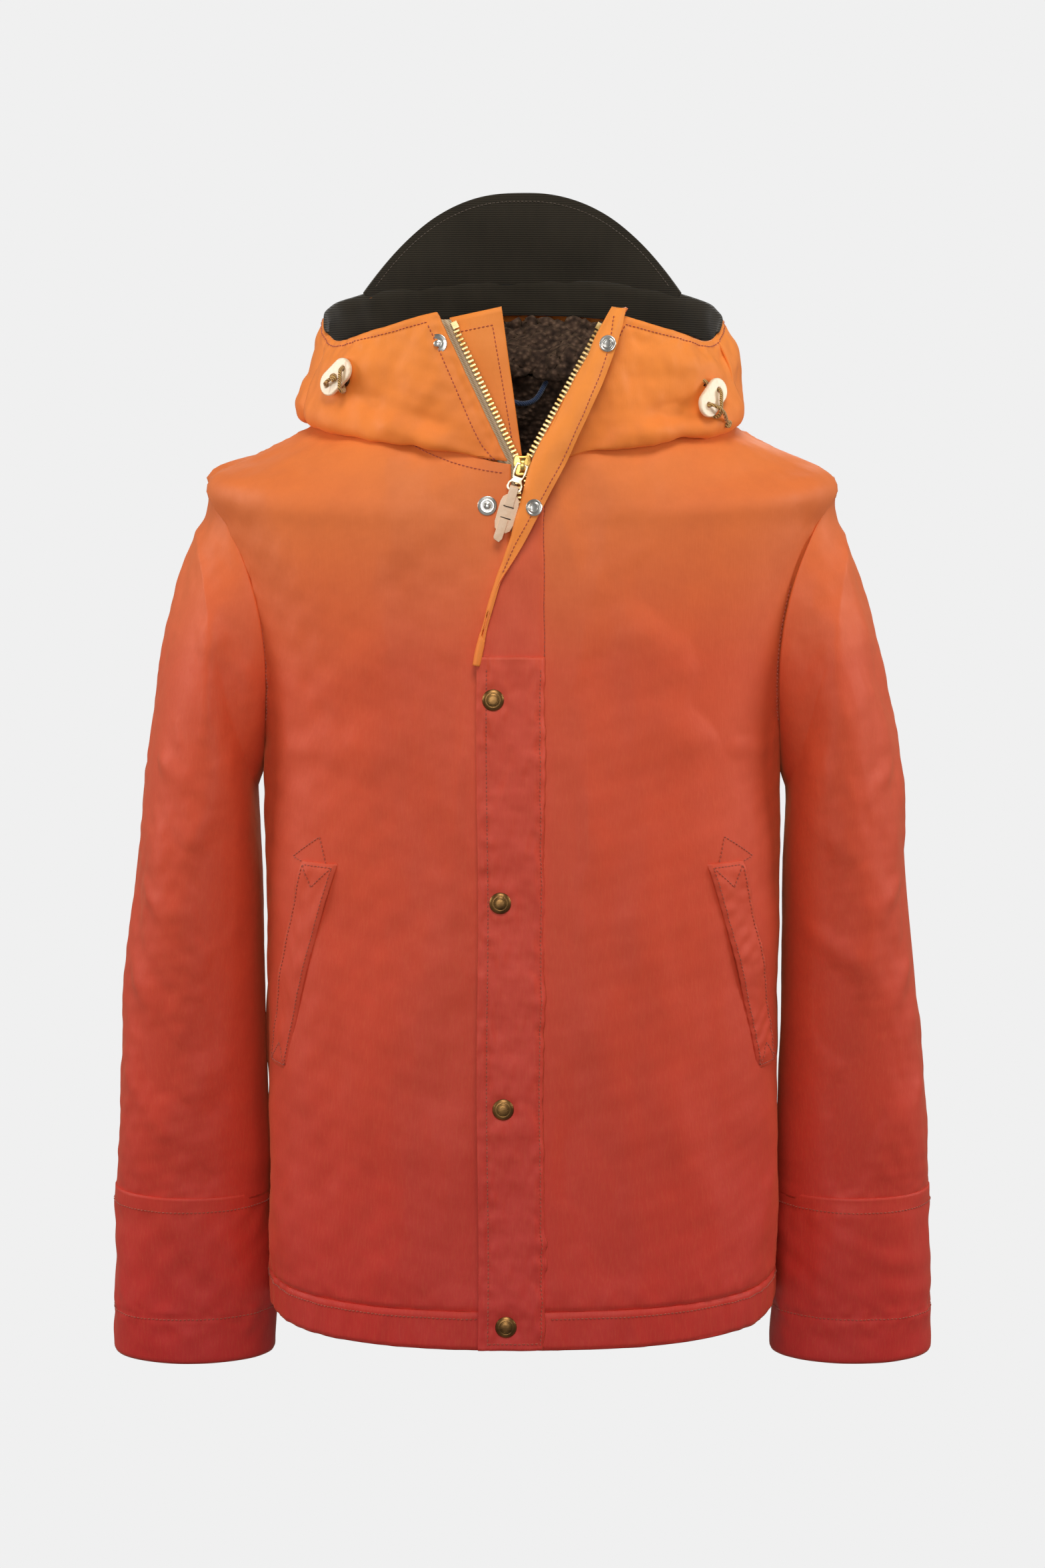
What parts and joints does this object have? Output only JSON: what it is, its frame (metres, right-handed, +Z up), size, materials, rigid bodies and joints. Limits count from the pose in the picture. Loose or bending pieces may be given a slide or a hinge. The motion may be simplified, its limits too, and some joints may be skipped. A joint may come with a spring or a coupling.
{
  "type": "hooded field jacket",
  "caption": "Hooded jacket with a stiff visor on its laid-back hood, curly pile lining, metal zip under a snapped storm flap, slanted welt pockets and open sleeves.",
  "frame": {"origin": "middle of the hang loop inside the back of the neck, from which the coat hangs", "axes": "+Z up along the hanging coat, -Y out of its closed front, +X to the wearer's left"},
  "size_m": [0.63, 0.3003, 0.882],
  "materials": {
    "brass": "polished",
    "bronze": "dark plated",
    "cloth": "matt coated woven cotton",
    "cord": "braided",
    "facing": "fine ribbed weave",
    "horn": "smooth, cream",
    "leather": "natural, undyed",
    "lining": "smooth woven lining",
    "loop": "woven strip",
    "pile": "curly pile",
    "silver": "plated",
    "tape": "herringbone tape"
  },
  "bodies": {
    "coat": {"back_panel": "cloth", "front_panel_right": "cloth", "front_panel_left": "cloth", "hem_band": "cloth", "body_lining": "pile", "hood_front_right": "cloth", "hood_front_left": "cloth", "hood_front_lining_right": "pile", "hood_front_lining_left": "pile", "storm_flap_top": "cloth", "snap_socket_5": "silver", "snap_socket_6": "silver", "snap_stud_1": "silver", "snap_stud_2": "silver", "snap_stud_3": "silver", "snap_stud_4": "silver", "snap_stud_5": "silver", "snap_stud_6": "silver", "zip_tape_right": "tape", "zip_tape_left": "tape", "zip_teeth_right": "brass", "zip_teeth_left": "brass", "zip_retainer": "brass", "wind_guard": "cloth", "pocket_bag_right": "lining", "pocket_bag_left": "lining", "eyelet_right": "bronze", "eyelet_left": "bronze", "hang_loop": "loop"},
    "hood": {"hood_shell": "cloth", "hood_lining": "pile", "hood_facing": "facing", "visor": "facing"},
    "right_arm": {"right_sleeve": "cloth", "right_cuff": "cloth", "right_sleeve_lining": "lining"},
    "left_arm": {"left_sleeve": "cloth", "left_cuff": "cloth", "left_sleeve_lining": "lining"},
    "flap": {"storm_flap": "cloth", "snap_cap_1": "bronze", "snap_cap_2": "bronze", "snap_cap_3": "bronze", "snap_cap_4": "bronze"},
    "slider": {"zip_slider": "brass"},
    "tab": {"zip_tab": "brass"},
    "pull": {"zip_pull": "leather"},
    "right_cord_end": {"cord_end_right": "cord", "toggle_right": "horn", "cord_knot_right": "cord"},
    "left_cord_end": {"cord_end_left": "cord", "toggle_left": "horn", "cord_knot_left": "cord"},
    "right_welt": {"pocket_welt_right": "cloth"},
    "left_welt": {"pocket_welt_left": "cloth"}
  },
  "joints": [
    {"name": "hood_lift", "type": "hinge", "parent": "coat", "child": "hood", "pos_m": [0, -0.098, 0.056], "axis": [1, 0, 0], "range_deg": [0, 40]},
    {"name": "right_sleeve_raise", "type": "hinge", "parent": "coat", "child": "right_arm", "pos_m": [-0.23, -0.053, -0.052], "axis": [0, 1, 0], "range_deg": [0, 60]},
    {"name": "left_sleeve_raise", "type": "hinge", "parent": "coat", "child": "left_arm", "pos_m": [0.23, -0.053, -0.052], "axis": [0, -1, 0], "range_deg": [0, 60]},
    {"name": "storm_flap_open", "type": "hinge", "parent": "coat", "child": "flap", "pos_m": [0.0145, -0.2086, -0.676], "axis": [0, 0.0544, 0.9985], "range_deg": [0, 150]},
    {"name": "zip_slider_travel", "type": "slide", "parent": "coat", "child": "slider", "axis": [0, 0.0544, 0.9985], "range_m": [-0.006, 0]},
    {"name": "zip_tab_swing", "type": "hinge", "parent": "slider", "child": "tab", "pos_m": [0, -0.1724, -0.0338], "axis": [-1, 0, 0], "range_deg": [0, 120]},
    {"name": "zip_pull_swing", "type": "hinge", "parent": "tab", "child": "pull", "pos_m": [-0.00653, -0.1724, -0.05174], "axis": [-0.9613, 0, 0.2756], "range_deg": [0, 80]},
    {"name": "right_toggle_swing", "type": "hinge", "parent": "coat", "child": "right_cord_end", "pos_m": [-0.12795, -0.12081, 0.02373], "axis": [-0.681, -0.7162, 0.1527], "range_deg": [-20, 20]},
    {"name": "left_toggle_swing", "type": "hinge", "parent": "coat", "child": "left_cord_end", "pos_m": [0.12795, -0.12081, 0.02373], "axis": [0.681, -0.7162, 0.1527], "range_deg": [-20, 20]},
    {"name": "right_pocket_open", "type": "hinge", "parent": "coat", "child": "right_welt", "pos_m": [-0.17512, -0.13128, -0.48297], "axis": [0.2412, -0.1812, 0.9534], "range_deg": [0, 30]},
    {"name": "left_pocket_open", "type": "hinge", "parent": "coat", "child": "left_welt", "pos_m": [0.17512, -0.13128, -0.48297], "axis": [0.2412, 0.1812, -0.9534], "range_deg": [0, 30]}
  ]
}
